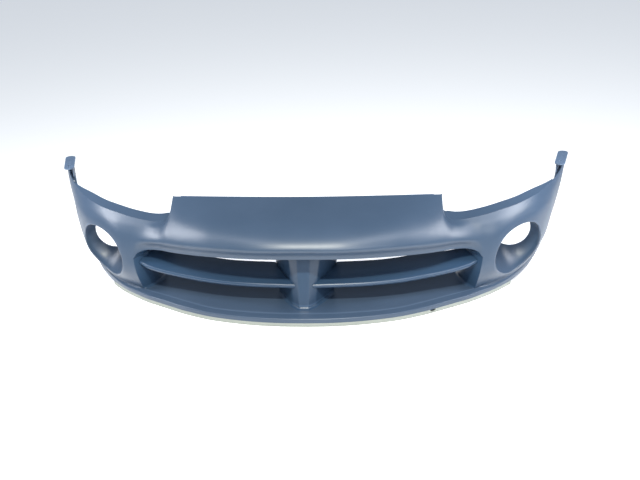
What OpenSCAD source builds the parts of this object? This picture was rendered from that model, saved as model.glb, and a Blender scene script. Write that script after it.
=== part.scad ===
// Front bumper cover of a low sports car: one outer skin with a wide twin mouth, two fog-lamp
// tunnels, headlamp ledges and fender ends, and the panels and brackets fixed to its back.
// +Z is up, the nose points along -Y, and X runs across. The lowest edge lies on Z = 0.

/* [Overall size] */
// Width over the two fender ends
cover_w = 1840; // [1500:1:2300]
// Depth from the front lip to the rear end of the wheel-arch edge
cover_d = 600; // [500:1:760]
// Height of the skin from its lower edge to the top of the fender ends
cover_h = 356; // [300:1:440]

/* [Panels] */
// Wall of the moulded skin
skin_t = 4; // [2.5:0.5:6]
// Wall of the duct panels, ledges and arch flanges
panel_t = 4; // [2.5:0.5:6]
// Width of the ledge under each headlamp
ledge_w = 46; // [25:1:70]
// Width of the return flange along each wheel arch
arch_flange_w = 26; // [15:1:40]
// Clearance between panels that meet edge to face
fit_gap = 1; // [0.5:0.1:3]

/* [Lip strip] */
// Height of the strip below the skin
strip_h = 14; // [8:1:25]
// Thickness of the upright leg of the strip
strip_t = 5; // [3:0.5:8]
// Depth of the flat leg of the strip
strip_leg = 34; // [20:1:60]
// Radius of the locating notch in the strip
notch_r = 9; // [5:0.5:11]

/* [Mouth duct] */
// Depth of the side walls behind the edge of the mouth
duct_d = 130; // [80:1:180]
// How far the side walls close in towards the back
duct_taper = 58; // [20:1:90]
// Height of the front face of each crossbar
bar_h = 14; // [8:1:22]
// Chord of each crossbar from front to back
bar_chord = 125; // [80:1:160]
// Rise of the crossbar's top from front to back
bar_rise = 26; // [10:1:45]

/* [Fog lamps] */
// Radius of the round opening at the back of each tunnel
fog_r = 68; // [55:1:80]
// Radial width of the lamp ring
ring_w = 14; // [8:1:20]
// Thickness of the lamp ring
ring_t = 4; // [3:0.5:6]
// Circle that the lamp screws lie on, as a radius
fog_screw_r = 90; // [84:1:100]
// Radius of the holes for the lamp screws
fog_hole_r = 3.3; // [2:0.1:5]

/* [Fender ends] */
// Length of each fender bracket's plate
tab_l = 148; // [120:1:180]
// Width of each fender bracket's plate
tab_w = 36; // [26:1:46]
// Thickness of the bracket's plate and web
tab_t = 4; // [3:0.5:6]
// Radius of the middle, clamping hole
tab_hole_r = 4.5; // [3:0.1:7]
// Radius of the two locating holes beside it
tab_pin_r = 3; // [2:0.1:4]

/* [Hood edge] */
// Drop of the flange below the hood edge
hood_drop = 16; // [10:1:24]
// Depth of the flange's flat behind the hood edge
hood_flat = 30; // [24:1:40]
// Thickness of the flange
hood_flange_t = 3; // [2:0.5:5]
// Number of fixing holes along the flange
hood_holes = 7; // [3:2:7]
// Pitch of those holes
hood_pitch = 125; // [50:1:130]
// Radius of those holes
hood_hole_r = 4.2; // [3:0.1:5]

/* [Center post] */
// Width of the post's front face
post_w = 42; // [28:1:50]
// Height of the post above the duct floor
post_h = 205; // [120:1:215]
// Width of the stay behind the post
stay_w = 24; // [14:1:26]
// Thickness of the stay
stay_t = 3; // [2:0.5:4]

/* [Hidden] */
$fn = 48;

primer = [0.36, 0.45, 0.57];
primer_dark = [0.25, 0.33, 0.44];
strip_pale = [0.72, 0.74, 0.74];
steel = [0.62, 0.63, 0.65];

// The rails are drawn at this size and stretched to the overall size.
design_w = 1840;
design_d = 600;
design_h = 356;
kx = cover_w / design_w;
ky = cover_d / design_d;
kz = cover_h / design_h;

// The origin is under the middle of the whole cover, whose rearmost point is the round end
// of the fender brackets.
tab_y = 580;        // middle of a fender bracket, in design millimetres
tab_turn = -14;
half_depth = (tab_y * ky + (tab_l - tab_w) / 2 * cos(tab_turn) + tab_w / 2) / 2;

// Stations across one half, in design millimetres from the middle
st_corner = 463;   // hood corner
st_mouth = 597;    // end of the mouth
st_end = 880;      // wheel-arch edge
// Rows from the top of the skin to its foot
row_lip = 3;       // upper edge of the mouth
row_step = 5;      // top of the lip
row_foot = 7;      // lower edge

// Wheel-arch edge: an arc in side view that leans outwards as it rises
arch_y = 860;
arch_z = 110;
arch_r = 360;
arch_x = 815;
arch_lean = 0.29;
function arch(z) = [arch_x + arch_lean * z, arch_y - sqrt(arch_r ^ 2 - (z - arch_z) ^ 2), z];

// ---- Rails: curves that run across one half of the skin, as [station, [x, y, z]] ----
hood_rail = [[0, [0, 300, 326]], [230, [230, 306, 326]], [463, [463, 318, 325]]];
lamp_rail = [[463, [463, 318, 325]], [472, [464, 299, 292]], [484, [468, 281, 267]],
    [500, [482, 268, 257]], [545, [530, 262, 256]], [600, [597, 272, 266]],
    [660, [660, 294, 277]], [730, [727, 330, 287]], [795, [795, 392, 298]],
    [850, [852, 474, 309]], [866, [886, 532, 320]], [880, arch(356)]];
brow_rail = [[0, [0, 110, 296]], [150, [150, 116, 296]], [300, [300, 150, 290]],
    [400, [400, 190, 280]], [463, [463, 216, 268]], [500, [500, 228, 246]],
    [550, [550, 240, 238]], [600, [597, 246, 240]], [660, [660, 262, 247]],
    [730, [727, 304, 256]], [795, [795, 368, 266]], [850, [850, 448, 276]],
    [880, arch(296)]];
nose_rail = [[0, [0, 36, 250]], [150, [150, 43, 248]], [300, [300, 84, 240]],
    [400, [400, 130, 228]], [463, [463, 166, 218]], [500, [500, 188, 212]],
    [550, [550, 210, 204]], [597, [597, 225, 203]], [655, [655, 240, 210]],
    [725, [725, 288, 222]], [795, [795, 352, 234]], [848, [848, 432, 242]],
    [880, arch(250)]];
mouth_rail = [[0, [0, 50, 206]], [150, [150, 57, 204]], [300, [300, 96, 195]],
    [400, [400, 140, 185]], [463, [463, 176, 178]], [500, [500, 197, 175]],
    [550, [550, 215, 168]], [580, [583, 214, 156]], [597, [597, 210, 140]],
    [650, [650, 226, 150]], [725, [725, 282, 165]], [795, [795, 350, 178]],
    [845, [845, 430, 190]], [880, arch(200)]];
cheek_rail = [[0, [0, 40, 100]], [300, [300, 80, 100]], [463, [463, 140, 95]],
    [560, [560, 180, 90]], [597, [588, 200, 85]], [650, [645, 224, 88]],
    [725, [722, 276, 95]], [792, [792, 352, 108]], [840, [832, 430, 120]],
    [880, arch(130)]];
step_rail = [[0, [0, 32, 18]], [150, [150, 40, 18]], [300, [300, 70, 18]],
    [400, [400, 118, 18]], [463, [463, 154, 18]], [500, [500, 175, 18]],
    [560, [555, 205, 18]], [597, [575, 218, 18]], [650, [640, 262, 18]],
    [725, [705, 322, 20]], [795, [765, 395, 31]], [845, [800, 450, 45]],
    [880, arch(60)]];
front_rail = [[0, [0, 2, 15]], [150, [150, 11, 15]], [300, [300, 42, 15]],
    [400, [400, 84, 15]], [463, [463, 120, 15]], [500, [500, 142, 15]],
    [560, [548, 168, 15]], [597, [575, 190, 15]], [650, [640, 240, 15]],
    [725, [705, 312, 15]], [795, [765, 392, 25]], [845, [800, 449, 39]],
    [880, arch(54)]];
foot_rail = [[0, [0, 0, 0]], [150, [150, 9, 0]], [300, [300, 42, 0]],
    [400, [400, 84, 0]], [463, [463, 120, 0]], [500, [500, 142, 0]],
    [560, [550, 172, 0]], [597, [580, 194, 0]], [650, [645, 248, 0]],
    [725, [708, 316, 0]], [795, [767, 396, 11]], [845, [801, 452, 28]],
    [880, arch(46)]];

// ---- Smooth curve through the points of a rail ----
function span(r, t, i = 0) = (i >= len(r) - 2 || t < r[i + 1][0]) ? i : span(r, t, i + 1);
function slope(r, j) =
    let (a = max(j - 1, 0), b = min(j + 1, len(r) - 1))
    (r[b][1] - r[a][1]) / (r[b][0] - r[a][0]);
function along(r, t, square_start = false) =
    let (i = span(r, t), h = r[i + 1][0] - r[i][0], s = (t - r[i][0]) / h,
         start = slope(r, i), m = square_start && i == 0 ? [start.x, 0, 0] : start)
    (2 * s ^ 3 - 3 * s ^ 2 + 1) * r[i][1] + (s ^ 3 - 2 * s ^ 2 + s) * h * m
    + (3 * s ^ 2 - 2 * s ^ 3) * r[i + 1][1] + (s ^ 3 - s ^ 2) * h * slope(r, i + 1);
// A rail crosses the middle of the car square to it.
function rail(r, t) = along(r, t, r[0][0] == 0);
function top_edge(t) = t < st_corner ? rail(hood_rail, t) : rail(lamp_rail, t);

// ---- The skin's outer surface: station t across, row v down ----
function upper_column(t) = [[0, top_edge(t)], [1, rail(brow_rail, t)],
    [2, rail(nose_rail, t)], [row_lip, rail(mouth_rail, t)], [4, rail(cheek_rail, t)],
    [row_step, rail(step_rail, t)]];
function foot_edge(t) = let (p = rail(foot_rail, t)) [p.x, p.y, max(0, p.z)];
function lower_column(t) = [[row_step, rail(step_rail, t)], [6, rail(front_rail, t)],
    [row_foot, foot_edge(t)]];
function half_surface(t, v) =
    along(v < row_step ? upper_column(t) : lower_column(t), v);
function flip(p, side) = [p.x * side, p.y, p.z];
function to_size(p) = [p.x * kx, p.y * ky - half_depth, strip_h + p.z * kz];
function outer(t, v) = flip(to_size(half_surface(abs(t), v)), t < 0 ? -1 : 1);

// The inner surface lies one wall behind it, along the normal.
tiny_t = 1.5;
tiny_v = 0.02;
function unit(p) = p / norm(p);
function half_normal(t, v) =
    let (v_up = (v <= row_step && v > row_step - tiny_v && t <= st_mouth) ? v : v - tiny_v,
         across = to_size(half_surface(t + tiny_t, v)) - to_size(half_surface(max(t - tiny_t, 0), v)),
         down = to_size(half_surface(t, v + tiny_v)) - to_size(half_surface(t, v_up)))
    unit(cross(down, across));
function normal(t, v) = flip(half_normal(abs(t), v), t < 0 ? -1 : 1);
function inner(t, v) = outer(t, v) - skin_t * normal(t, v);

// ---- Closed sheet between two grids of points; open(i, j) marks missing cells ----
module sheet(front, back, missing = [], ring = false) {
    rows = len(front);
    cols = len(front[0]);
    cells = ring ? cols : cols - 1;
    total = rows * cols;
    function id(i, j) = i * cols + (j % cols);
    function solid(i, j) =
        i >= 0 && i < rows - 1 && (ring || (j >= 0 && j < cells))
        && (len(missing) == 0 || !missing[i][(j + cells) % cells]);
    function edge(a, b) = [[a, b, b + total], [a, b + total, a + total]];
    faces = [for (i = [0:rows - 2]) for (j = [0:cells - 1]) if (solid(i, j)) each concat(
        [[id(i, j), id(i, j + 1), id(i + 1, j + 1)], [id(i, j), id(i + 1, j + 1), id(i + 1, j)]],
        [[id(i, j) + total, id(i + 1, j + 1) + total, id(i, j + 1) + total],
         [id(i, j) + total, id(i + 1, j) + total, id(i + 1, j + 1) + total]],
        solid(i - 1, j) ? [] : edge(id(i, j + 1), id(i, j)),
        solid(i + 1, j) ? [] : edge(id(i + 1, j), id(i + 1, j + 1)),
        solid(i, j - 1) ? [] : edge(id(i, j), id(i + 1, j)),
        solid(i, j + 1) ? [] : edge(id(i + 1, j + 1), id(i, j + 1)))];
    polyhedron(points = concat([for (r = front) each r], [for (r = back) each r]), faces = faces);
}

// Closed loft through a row of sections with the same number of points
module loft(sections) {
    n = len(sections[0]);
    last = len(sections) - 1;
    faces = concat(
        [for (i = [0:last - 1]) for (j = [0:n - 1]) let (k = (j + 1) % n) each
            [[i * n + j, i * n + k, (i + 1) * n + k], [i * n + j, (i + 1) * n + k, (i + 1) * n + j]]],
        [[for (j = [n - 1:-1:0]) j]],
        [[for (j = [0:n - 1]) last * n + j]]);
    polyhedron(points = [for (s = sections) each s], faces = faces);
}

function lerp(a, b, f) = a + (b - a) * f;
function steps(a, b, n) = [for (i = [0:n]) lerp(a, b, i / n)];
function rest(list) = [for (i = [1:len(list) - 1]) list[i]];
function back_to_front(list) = [for (i = [len(list) - 1:-1:0]) list[i]];

// ---- Grid of the skin, with index holes for the mouth and the fog lamps ----
fog_t = 724;        // middle of the fog opening, station
fog_v = 3.4;        // middle of the fog opening, row
fog_half_t = 81;
fog_half_v = 1.35;
fog_core = 0.86;    // the index hole, as a share of the opening
fog_reach = 1.18;   // where the warp round the opening ends
half_stations = concat(steps(0, 435, 10), steps(st_corner, 500, 3), steps(515, st_mouth, 5),
    [615], steps(fog_t - fog_core * fog_half_t, fog_t + fog_core * fog_half_t, 12),
    [807, 822, 838, 854, 867, st_end]);
stations = concat(back_to_front([for (t = rest(half_stations)) -t]), half_stations);
fog_top = fog_v - fog_core * fog_half_v;
fog_bottom = fog_v + fog_core * fog_half_v;
rows = concat(steps(0, 1.9, 6), [fog_top - 0.15], [fog_top], [2.6], [row_lip],
    steps(3.35, 4.2, 3), [fog_bottom], [4.72, 4.86], [row_step, 5.5, 6, row_foot]);

function warp(t, v) =
    let (s = (abs(t) - fog_t) / fog_half_t, q = (v - fog_v) / fog_half_v,
         m = max(abs(s), abs(q)))
    m >= fog_reach || m < 0.01 ? [t, v] :
    let (k = max(0, (m - fog_core) / (fog_reach - fog_core)), r = norm([s, q]),
         ring = 1 + (m - fog_core) / 2, su = lerp(s / r * ring, s, k), qu = lerp(q / r * ring, q, k))
    [(t < 0 ? -1 : 1) * (fog_t + fog_half_t * su), fog_v + fog_half_v * qu];
function in_mouth(t, v) = abs(t) < st_mouth && v > row_lip && v < row_step;
function in_fog(t, v) =
    abs(abs(t) - fog_t) < fog_core * fog_half_t && abs(v - fog_v) < fog_core * fog_half_v;

module bumper_skin() {
    grid = [for (v = rows) [for (t = stations) warp(t, v)]];
    gone = [for (i = [0:len(rows) - 2]) [for (j = [0:len(stations) - 2])
        let (t = (stations[j] + stations[j + 1]) / 2, v = (rows[i] + rows[i + 1]) / 2)
        in_mouth(t, v) || in_fog(t, v)]];
    color(primer)
    sheet([for (r = grid) [for (g = r) outer(g[0], g[1])]],
        [for (r = grid) [for (g = r) inner(g[0], g[1])]], gone);
}

// ---- Headlamp ledge: a flange that runs back from the skin's top edge ----
ledge_end = 854;
ledge_rise = 0.22;
ledge_start_fade = 40;
ledge_end_fade = 115;
function ledge_reach(t) =
    ledge_w * min(1, (t - st_corner + 2) / ledge_start_fade)
    * sin(90 * min(1, (ledge_end + 14 - t) / ledge_end_fade));
module headlamp_ledge() {
    line = [for (t = half_stations) if (t >= st_corner && t <= ledge_end) t];
    top = [for (u = [0, 0.3, 1])
        [for (t = line) outer(t, 0) + u * ledge_reach(t) * [0, 1, ledge_rise]]];
    last = len(line) - 1;
    under = concat([[for (t = line) inner(t, 0)]],
        [for (i = [1, 2]) [for (j = [0:last]) top[i][j] + panel_t * grid_normal(top, i, j)]]);
    color(primer) sheet(under, top);
}

// ---- Mouth duct: side walls with a piece of roof, and the floor ----
duct_steps = [0, 0.12, 0.28, 0.5, 0.75, 1];
roof_start = 480;
roof_rise = 10;
function closing(u) = duct_taper * (1 - (1 - u) ^ 2);
function wall_share(t) = sqrt(max(0, (t - roof_start) / (st_mouth - roof_start)));
function wall_point(t, v, u) =
    let (f = v > row_lip ? 1 : wall_share(t))
    outer(t, v) + [-closing(u) * f, duct_d * u, roof_rise * (1 - f) * u];
mouth_edge = concat([for (t = half_stations) if (t >= roof_start && t <= st_mouth) [t, row_lip]],
    [for (v = rows) if (v > row_lip && v <= row_step) [st_mouth, v]]);

function at(list, i) = list[max(0, min(len(list) - 1, i))];
function grid_normal(g, i, j) =
    unit(cross(at(g, i + 1)[j] - at(g, i - 1)[j], at(g[i], j + 1) - at(g[i], j - 1)));
function level(p) = unit([p.x, p.y, 0]);

module scoop_wall() {
    face = [for (u = duct_steps) [for (m = mouth_edge) wall_point(m[0], m[1], u)]];
    rear = concat([[for (m = mouth_edge) inner(m[0], m[1])]],
        [for (i = [1:len(face) - 1]) [for (j = [0:len(mouth_edge) - 1])
            let (n = grid_normal(face, i, j))
            face[i][j] - panel_t * (j > len(mouth_edge) - 3 ? level(n) : n)]]);
    color(primer) sheet(face, rear);
}

wall_foot = outer(st_mouth, row_step);
function floor_point(t, u) =
    let (p = outer(t, row_step))
    [p.x * (1 - closing(u) / wall_foot.x), lerp(p.y, wall_foot.y + duct_d, u), p.z];
module scoop_floor() {
    line = [for (t = stations) if (abs(t) <= st_mouth) t];
    top = [for (u = duct_steps) [for (t = line) floor_point(t, u)]];
    under = concat([[for (t = line) inner(t, row_step)]],
        [for (r = rest(top)) [for (p = r) p - [0, 0, panel_t]]]);
    color(primer_dark) sheet(under, top);
}

// ---- Center post: a hollow wedge that widens towards the back ----
floor_z = outer(0, row_step).z;
post_foot_y = to_size([0, 66, 0]).y;
post_lean = 0.27;
post_depth = 125;
post_widths = [[0, 0], [22, 29], [44, 43], [64, 56], [100, 76], [post_depth, 88]];
post_foot_share = 0.72;   // width at the foot, front and back, as a share of that above
post_foot_back = 0.86;
post_taper_h = 150;       // height over which the post widens
function post_front(z) = post_foot_y + post_lean * (z - floor_z);
function post_half(y, z) =
    let (d = y - post_front(z), foot = lerp(post_foot_share, post_foot_back, d / post_depth))
    (post_w / 2 + lookup(d, post_widths)) * lerp(foot, 1, min(1, (z - floor_z) / post_taper_h));
module center_post() {
    side = [for (w = back_to_front(post_widths)) [-1, w[0]]];
    path = concat(side, [for (s = back_to_front(side)) [1, s[1]]]);
    levels = steps(floor_z + post_h, floor_z, 8);
    face = [for (z = levels) [for (p = path)
        let (y = post_front(z) + p[1]) [p[0] * post_half(y, z), y, z]]];
    rear = [for (i = [0:len(levels) - 1]) [for (j = [0:len(path) - 1])
        face[i][j] - panel_t * level(grid_normal(face, i, j))]];
    color(primer) sheet(face, rear);
}

// ---- Crossbar: a wedge blade from the post to the side wall ----
bar_rail = [[45, [45, 95, 80]], [195, [195, 105, 82]], [305, [305, 128, 83]],
    [400, [400, 160, 86]], [500, [500, 188, 97]], [585, [585, 222, 110]]];
bar_start = 45;
bar_end = 582;
bar_gap = 2.5 * fit_gap;
post_gap = 5 * fit_gap;
bar_taper_from = 380;
bar_tip = 0.6;      // chord at the outer tip, as a share of the full chord
mouth_side = [for (v = steps(row_step, row_lip, 16)) outer(st_mouth, v)];
function wall_x(y, z) =
    let (x = lookup(z, [for (p = mouth_side) [p.z, p.x]]),
         edge_y = lookup(z, [for (p = mouth_side) [p.z, p.y]]))
    x - closing(max(0, min(1, (y - edge_y) / duct_d)));
bar_top = [0.06, 0.26, 0.42, 0.7];
function bar_section(share) =
    let (c = bar_chord * share, rise = bar_rise * share)
    concat([[0, 0], [-3, 0.45 * bar_h], [2, bar_h]],
        [for (f = bar_top) [f * c, bar_h + f * rise]], [[c, bar_h + rise]],
        [for (f = concat([1], back_to_front(bar_top))) [f * c, f * (bar_h + rise - 4)]]);
function bar_share(x) =
    1 - (1 - bar_tip) * max(0, x - bar_taper_from) / (bar_end - bar_taper_from);
module crossbar() {
    color(primer)
    loft([for (a = steps(0, 1, 22))
        let (x = lerp(bar_start, bar_end, a), base = to_size(rail(bar_rail, x)))
        [for (q = bar_section(bar_share(x))) let (y = base.y + q[0], z = base.z + q[1])
            [lerp(post_half(y, z) + post_gap, wall_x(y, z) - bar_gap, a), y, z]]]);
}

// ---- Fog-lamp tunnel: from the opening in the skin back to a round rim ----
fog_columns = steps(fog_t - fog_core * fog_half_t, fog_t + fog_core * fog_half_t, 12);
fog_rows = [for (v = rows) if (v >= fog_top && v <= fog_bottom) v];
fog_rear = to_size([708, 395, 168]);
fog_bowl = 12;      // how far the tunnel's lower half swells outwards
fog_edge = concat([for (t = fog_columns) [t, fog_top]],
    [for (v = rest(fog_rows)) [fog_columns[len(fog_columns) - 1], v]],
    [for (t = rest(back_to_front(fog_columns))) [t, fog_bottom]],
    [for (v = rest(back_to_front(rest(fog_rows)))) [fog_columns[0], v]]);
module fog_tunnel() {
    edge = [for (e = fog_edge) warp(e[0], e[1])];
    ways = [for (e = edge)
        unit([(e[0] - fog_t) / fog_half_t, 0, (fog_v - e[1]) / fog_half_v])];
    shares = [0, 0.2, 0.45, 0.7, 0.88, 1];
    face = [for (f = shares) [for (j = [0:len(edge) - 1])
        let (rear = fog_rear + fog_r * ways[j])
        lerp(outer(edge[j][0], edge[j][1]), rear, f)
        + fog_bowl * (1 - ways[j].z) / 2 * sin(180 * f) * ways[j]]];
    last = len(shares) - 1;
    hidden = [for (i = [0:last]) [for (j = [0:len(edge) - 1])
        i == 0 ? inner(edge[j][0], edge[j][1]) : face[i][j] + panel_t * ways[j]]];
    color(primer) sheet(face, hidden, ring = true);
}

// ---- Fog-lamp ring: a flat ring behind the tunnel with three ears ----
ear_r = 9;
ear_angles = [90, 210, 330];
module fog_lamp_ring() {
    color(primer_dark)
    translate([fog_rear.x, fog_rear.y + ring_t, fog_rear.z])
    rotate([90, 0, 0])
    difference() {
        linear_extrude(ring_t) difference() {
            union() {
                circle(r = fog_r + ring_w);
                for (a = ear_angles) rotate(a) {
                    translate([fog_screw_r, 0]) circle(r = ear_r);
                    translate([fog_r + ring_w / 2, -ear_r])
                        square([fog_screw_r - fog_r - ring_w / 2, 2 * ear_r]);
                }
            }
            circle(r = fog_r);
        }
        for (a = ear_angles) rotate(a) translate([fog_screw_r, 0, -1])
            cylinder(r = fog_hole_r, h = ring_t + 2);
    }
}

// ---- Clip nut: a folded spring clip that grips a plate at its edge ----
clip_w = 14;
clip_t = 1.2;
clip_gap = 0.2;
clip_barrel_r = 5;
clip_barrel_l = 6;
// The plate lies from z = 0 to plate_t, its edge is at x = edge, and the hole is on the axis.
module clip_nut(plate_t, edge, hole_r) {
    low = -clip_t - clip_gap;
    difference() {
        union() {
            translate([-clip_w / 2, -clip_w / 2, low])
                cube([edge + clip_gap + clip_t + clip_w / 2, clip_w,
                    plate_t + 2 * (clip_t + clip_gap)]);
            translate([0, 0, low - clip_barrel_l]) cylinder(r = clip_barrel_r, h = clip_barrel_l + clip_t);
        }
        translate([-clip_w, -clip_w, -clip_gap])
            cube([edge + clip_gap + clip_w, 2 * clip_w, plate_t + 2 * clip_gap]);
        translate([0, 0, low - clip_barrel_l - 1])
            cylinder(r = hole_r, h = plate_t + clip_barrel_l + 2 * clip_t + 4);
    }
}
module fog_clip_nuts() {
    color(steel)
    for (side = [-1, 1], a = ear_angles)
        translate([side * fog_rear.x, fog_rear.y, fog_rear.z])
        rotate([-90, 0, 0]) rotate(-a) translate([fog_screw_r, 0, 0])
        mirror([0, 0, 1]) translate([0, 0, -ring_t]) clip_nut(ring_t, ear_r, fog_hole_r - 0.3);
}

// ---- Lip strip: an angle strip under the skin's foot ----
strip_end = 725;
strip_leg_t = 4;
notch_t = 428;
function foot_in(t) = -level(normal(t, row_foot));
module lip_strip() {
    line = concat([-strip_end], [for (t = stations) if (abs(t) < strip_end - 5) t], [strip_end]);
    notch = outer(notch_t, row_foot);
    color(strip_pale)
    difference() {
        loft([for (t = line) let (o = outer(t, row_foot), i = inner(t, row_foot), n = foot_in(t))
            [o, i, i + strip_leg * n, o + strip_leg * n - [0, 0, strip_leg_t],
             o + strip_t * n - [0, 0, strip_leg_t], o + strip_t * n - [0, 0, strip_h],
             o - [0, 0, strip_h]]]);
        translate(notch) rotate([90, 0, 0])
            translate([0, 0, -strip_leg]) cylinder(r = notch_r, h = 2 * strip_leg);
    }
}

// ---- Fender bracket: a plate with three holes on top of the skin's end, and a web ----
fender_top = to_size([900, tab_y, 356]);
tab_base_z = fender_top.z + fit_gap;
tab_holes = [[-52, tab_pin_r], [-36, tab_hole_r], [26, tab_pin_r]];
web_l = 34;
web_h = 36;
web_x = -12;
web_y = -33;
module fender_bracket() {
    straight = tab_l - tab_w;
    color(primer)
    translate([fender_top.x, fender_top.y, tab_base_z]) rotate(tab_turn) {
        difference() {
            linear_extrude(tab_t) union() {
                square([tab_w, straight], center = true);
                for (s = [-1, 1]) translate([0, s * straight / 2]) circle(r = tab_w / 2);
            }
            for (h = tab_holes) translate([0, h[0], -1]) cylinder(r = h[1], h = tab_t + 2);
        }
        translate([web_x - tab_t / 2, web_y - web_l / 2, -web_h]) cube([tab_t, web_l, web_h]);
    }
}

// ---- Wheel-arch flange: turns inboard along the skin's rear edge ----
arch_hole_r = 3.5;
arch_hole_rows = [1, 2.6, 4.2];
arch_hole_in = 0.55;    // hole from the skin's edge, as a share of the flange's width
module arch_flange() {
    color(primer)
    difference() {
        loft([for (v = rows) let (o = outer(st_end, v), i = inner(st_end, v))
            [o, o + [0, panel_t, 0], o + [-arch_flange_w, panel_t, 0],
             o + [-arch_flange_w, 0, 0], i]]);
        for (v = arch_hole_rows) let (o = outer(st_end, v))
            translate(o + [-arch_flange_w * arch_hole_in, panel_t / 2, 0]) rotate([90, 0, 0])
            cylinder(r = arch_hole_r, h = 10 * panel_t, center = true);
    }
}

// ---- Hood-edge flange: steps down behind the hood edge, with a row of fixing holes ----
hood_span = 435;
hood_row_y = outer(st_corner, 0).y + 9;
function hood_flat_z() = outer(0, 0).z - hood_drop;
module hood_edge_flange() {
    front = [for (t = stations) if (abs(t) <= hood_span) let (i = inner(t, 0)) [i.x, i.y]];
    bottom = hood_flat_z() - hood_flange_t;
    web_top = outer(hood_span, 0).z;
    color(primer_dark)
    difference() {
        union() {
            translate([0, 0, bottom]) linear_extrude(web_top - bottom) strip(front, hood_flange_t);
            translate([0, 0, bottom]) linear_extrude(hood_flange_t)
                strip(front, hood_flange_t + hood_flat);
        }
        for (k = [0:hood_holes - 1])
            translate([(k - (hood_holes - 1) / 2) * hood_pitch, hood_row_y, bottom - 1])
            cylinder(r = hood_hole_r, h = hood_flange_t + 2);
    }
}

// Flat band that runs back from a curved front line
module strip(front, depth) {
    polygon(concat(front, [for (p = back_to_front(front)) p + [0, depth]]));
}

module hood_clip_nuts() {
    color(steel)
    for (k = [-1:1]) let (rear = inner(k * hood_pitch / kx, 0).y + hood_flange_t + hood_flat)
        translate([k * hood_pitch, hood_row_y, hood_flat_z() - hood_flange_t])
        rotate(90) clip_nut(hood_flange_t, rear - hood_row_y + clip_gap, hood_hole_r - 0.4);
}

// ---- Center stay: a strap from the post up to the hood-edge flange ----
stay_below_top = 8;
stay_overlap = 42;  // height over which the stay lies against the post
module center_stay() {
    pad_z = hood_flat_z() - hood_flange_t - fit_gap / 2;
    pad_y = outer(0, 0).y;
    high = floor_z + post_h - stay_below_top;
    low = high - stay_overlap;
    low_y = post_front(low) + panel_t + fit_gap;
    high_y = post_front(high) + panel_t + fit_gap;
    color(steel)
    translate([stay_w / 2, 0, 0]) rotate([90, 0, -90]) linear_extrude(stay_w)
    polygon([[-low_y, low], [-high_y, high], [-pad_y + 8, pad_z], [-pad_y - 2, pad_z],
        [-pad_y - 2, pad_z - stay_t], [-pad_y + 8 - stay_t / 2, pad_z - stay_t],
        [-high_y - stay_t, high], [-low_y - stay_t, low]]);
}

module left() { mirror([1, 0, 0]) children(); }

bumper_skin();
left() headlamp_ledge();  // headlamp_ledge_left
headlamp_ledge();  // headlamp_ledge_right
scoop_floor();
left() scoop_wall();  // scoop_wall_left
scoop_wall();  // scoop_wall_right
left() crossbar();  // crossbar_left
crossbar();  // crossbar_right
center_post();
left() fog_tunnel();  // fog_tunnel_left
fog_tunnel();  // fog_tunnel_right
left() fog_lamp_ring();  // fog_lamp_ring_left
fog_lamp_ring();  // fog_lamp_ring_right
lip_strip();
left() fender_bracket();  // fender_bracket_left
fender_bracket();  // fender_bracket_right
left() arch_flange();  // arch_flange_left
arch_flange();  // arch_flange_right
hood_edge_flange();
center_stay();
fog_clip_nuts();
hood_clip_nuts();
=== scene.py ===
import math

import bpy
import numpy as np
from mathutils import Matrix, Vector


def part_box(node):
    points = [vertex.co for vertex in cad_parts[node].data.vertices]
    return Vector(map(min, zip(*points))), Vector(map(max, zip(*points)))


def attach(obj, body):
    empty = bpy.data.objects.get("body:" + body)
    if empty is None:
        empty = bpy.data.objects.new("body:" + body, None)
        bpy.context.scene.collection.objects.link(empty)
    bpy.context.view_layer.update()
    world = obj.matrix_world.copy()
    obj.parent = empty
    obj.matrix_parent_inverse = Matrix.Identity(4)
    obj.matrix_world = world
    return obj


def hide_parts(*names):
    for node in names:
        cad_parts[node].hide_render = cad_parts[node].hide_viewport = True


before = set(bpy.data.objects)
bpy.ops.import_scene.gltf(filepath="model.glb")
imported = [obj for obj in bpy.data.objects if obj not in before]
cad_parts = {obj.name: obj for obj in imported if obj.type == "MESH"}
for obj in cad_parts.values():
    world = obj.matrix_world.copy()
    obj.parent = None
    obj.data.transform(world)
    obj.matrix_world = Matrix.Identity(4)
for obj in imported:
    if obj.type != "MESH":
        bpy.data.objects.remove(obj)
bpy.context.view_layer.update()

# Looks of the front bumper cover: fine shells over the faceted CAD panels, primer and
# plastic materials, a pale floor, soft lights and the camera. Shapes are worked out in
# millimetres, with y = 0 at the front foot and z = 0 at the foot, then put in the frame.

MM = 0.001
STRIP_H = 14.0      # height of the strip below the skin's foot
ORIGIN = np.array([0.0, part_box("bumper_skin")[0].y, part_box("lip_strip")[0].z + STRIP_H * MM])

SKIN_T = 4.0        # wall of the skin
PANEL_T = 4.0       # wall of the duct panels and ledges
EDGE_R = 0.9        # rounding of free edges
KEPT_EDGE_R = 0.6   # the same on the small pieces that stay from the CAD

# Stations across one half of the skin, and rows from its top to its foot
ST_CORNER, ST_MOUTH, ST_END = 463.0, 597.0, 880.0
ROW_LIP, ROW_STEP, ROW_FRONT, ROW_FOOT = 3.0, 5.0, 6.0, 7.0
UPPER_ROWS = np.arange(ROW_STEP + 1)
LIP_SOFT = 0.22                 # rows over which the lip's front edge is rounded
ROLL_UP, ROLL_OUT = 0.2, 0.5    # rows over which the cheek rolls into the lip
ROLL_GAP, ROLL_FADE = 2.0, 30.0  # that roll starts this far outside the mouth and grows
TINY_T, TINY_V = 1.5, 0.02      # steps in station and row for the slope of the surface
NEAR_T, NEAR_V = 1.0, 0.01      # slack when stations and rows are compared

# Wheel arch: x at the foot, outward lean, middle of the arc (y, z) and its radius
ARCH_X, ARCH_LEAN, ARCH_Y, ARCH_Z, ARCH_R = 815.0, 0.29, 860.0, 110.0, 360.0


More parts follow.
